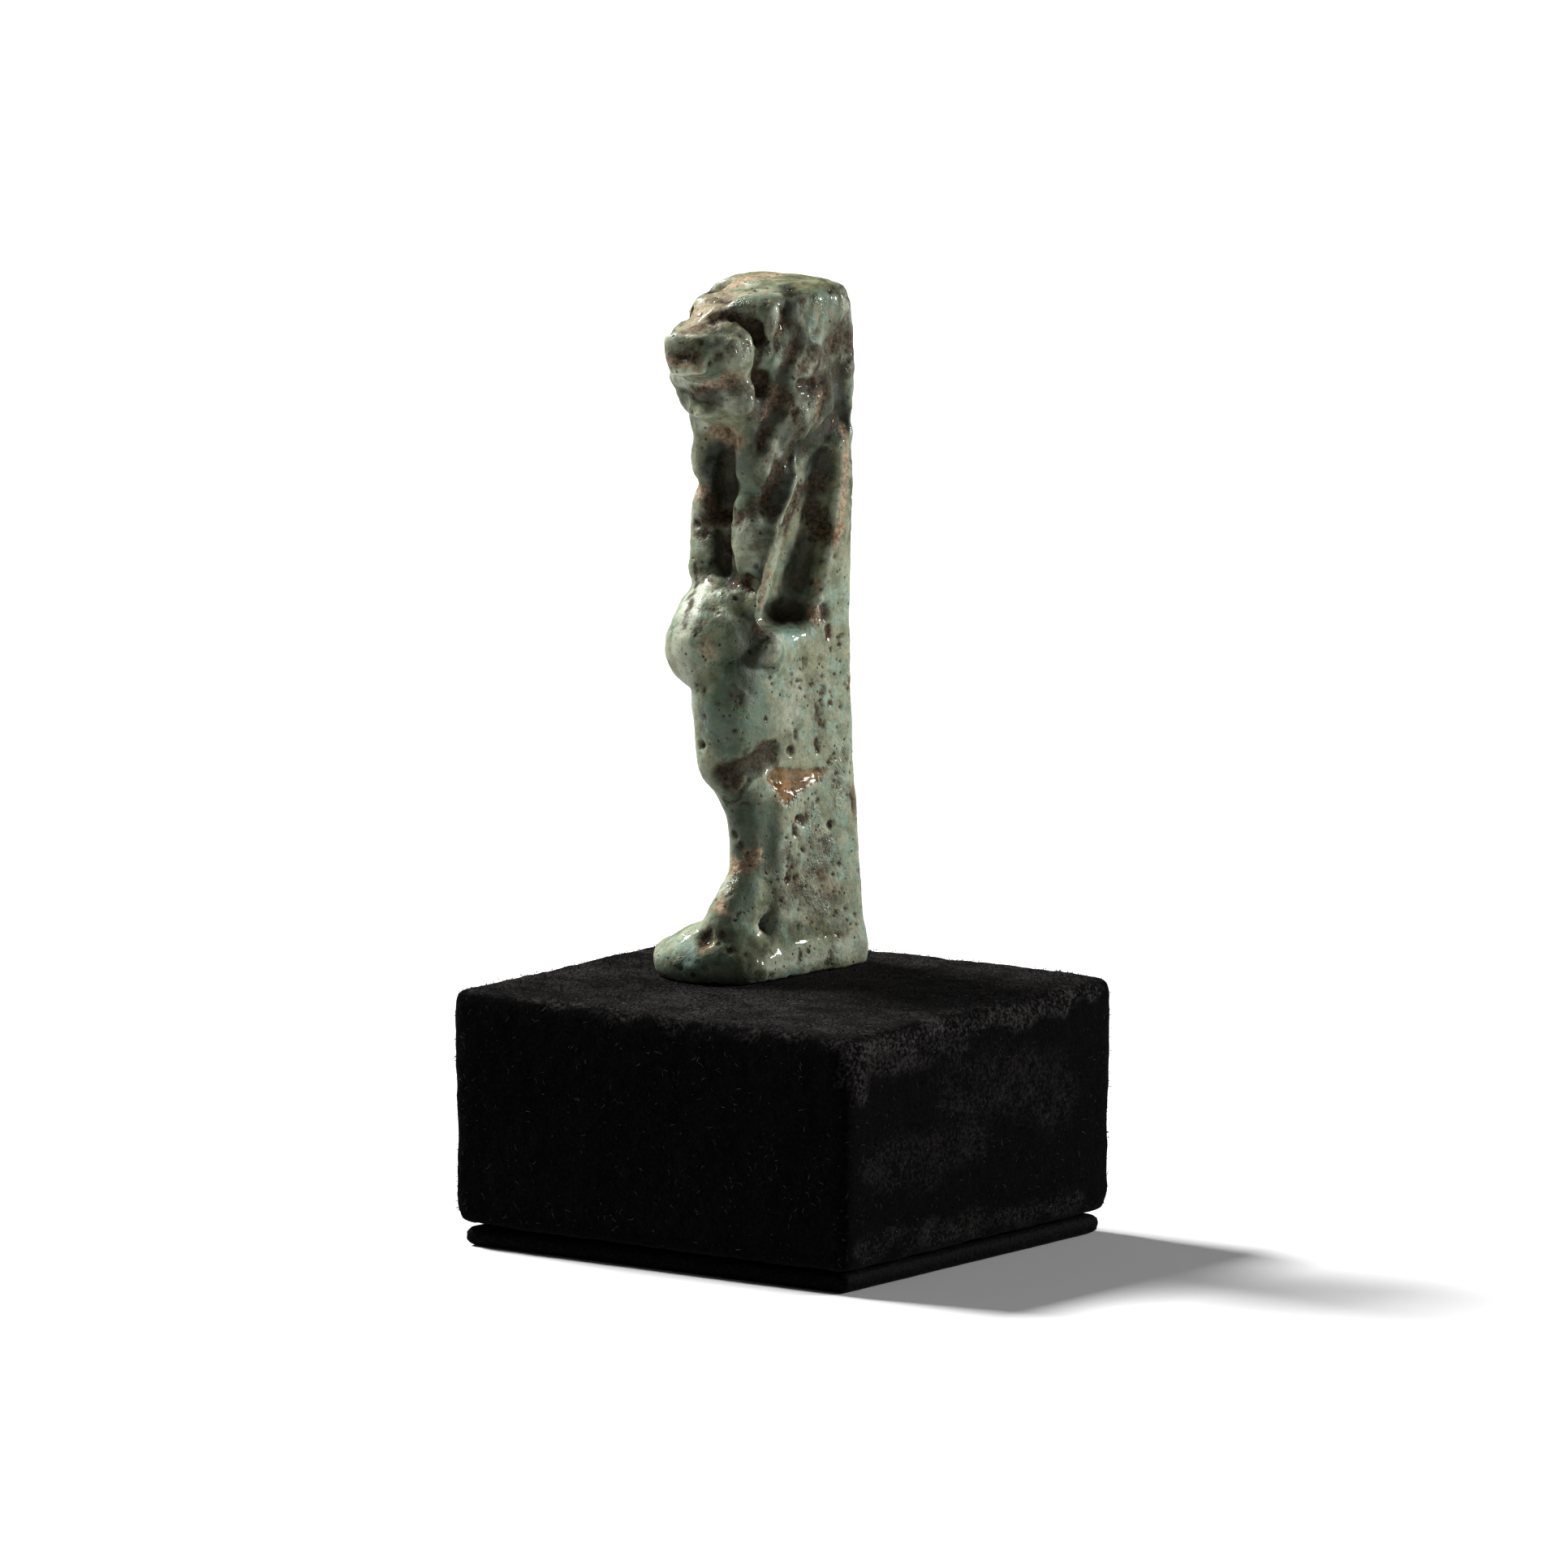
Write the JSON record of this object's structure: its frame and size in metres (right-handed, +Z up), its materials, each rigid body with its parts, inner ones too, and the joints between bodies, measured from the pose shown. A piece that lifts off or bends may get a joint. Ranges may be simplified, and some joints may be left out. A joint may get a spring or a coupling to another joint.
{
  "type": "standing figure amulet on a plinth",
  "caption": "Small glazed faience hippopotamus-goddess amulet with a back pillar, standing on a velvet-covered block over a thin base pad.",
  "frame": {"origin": "centre of the base pad's underside, on the surface that the plinth stands on", "axes": "+Z up the figure, -Y towards the side that the figure looks at, +X towards the figure's left"},
  "size_m": [0.027, 0.025, 0.053],
  "materials": {
    "faience": "worn blue-green glaze with brown dirt in the hollows",
    "velvet": "black velvet",
    "pad_cloth": "black cloth"
  },
  "bodies": {
    "root": {"amulet": "faience", "plinth_block": "velvet", "base_pad": "pad_cloth"}
  },
  "joints": []
}
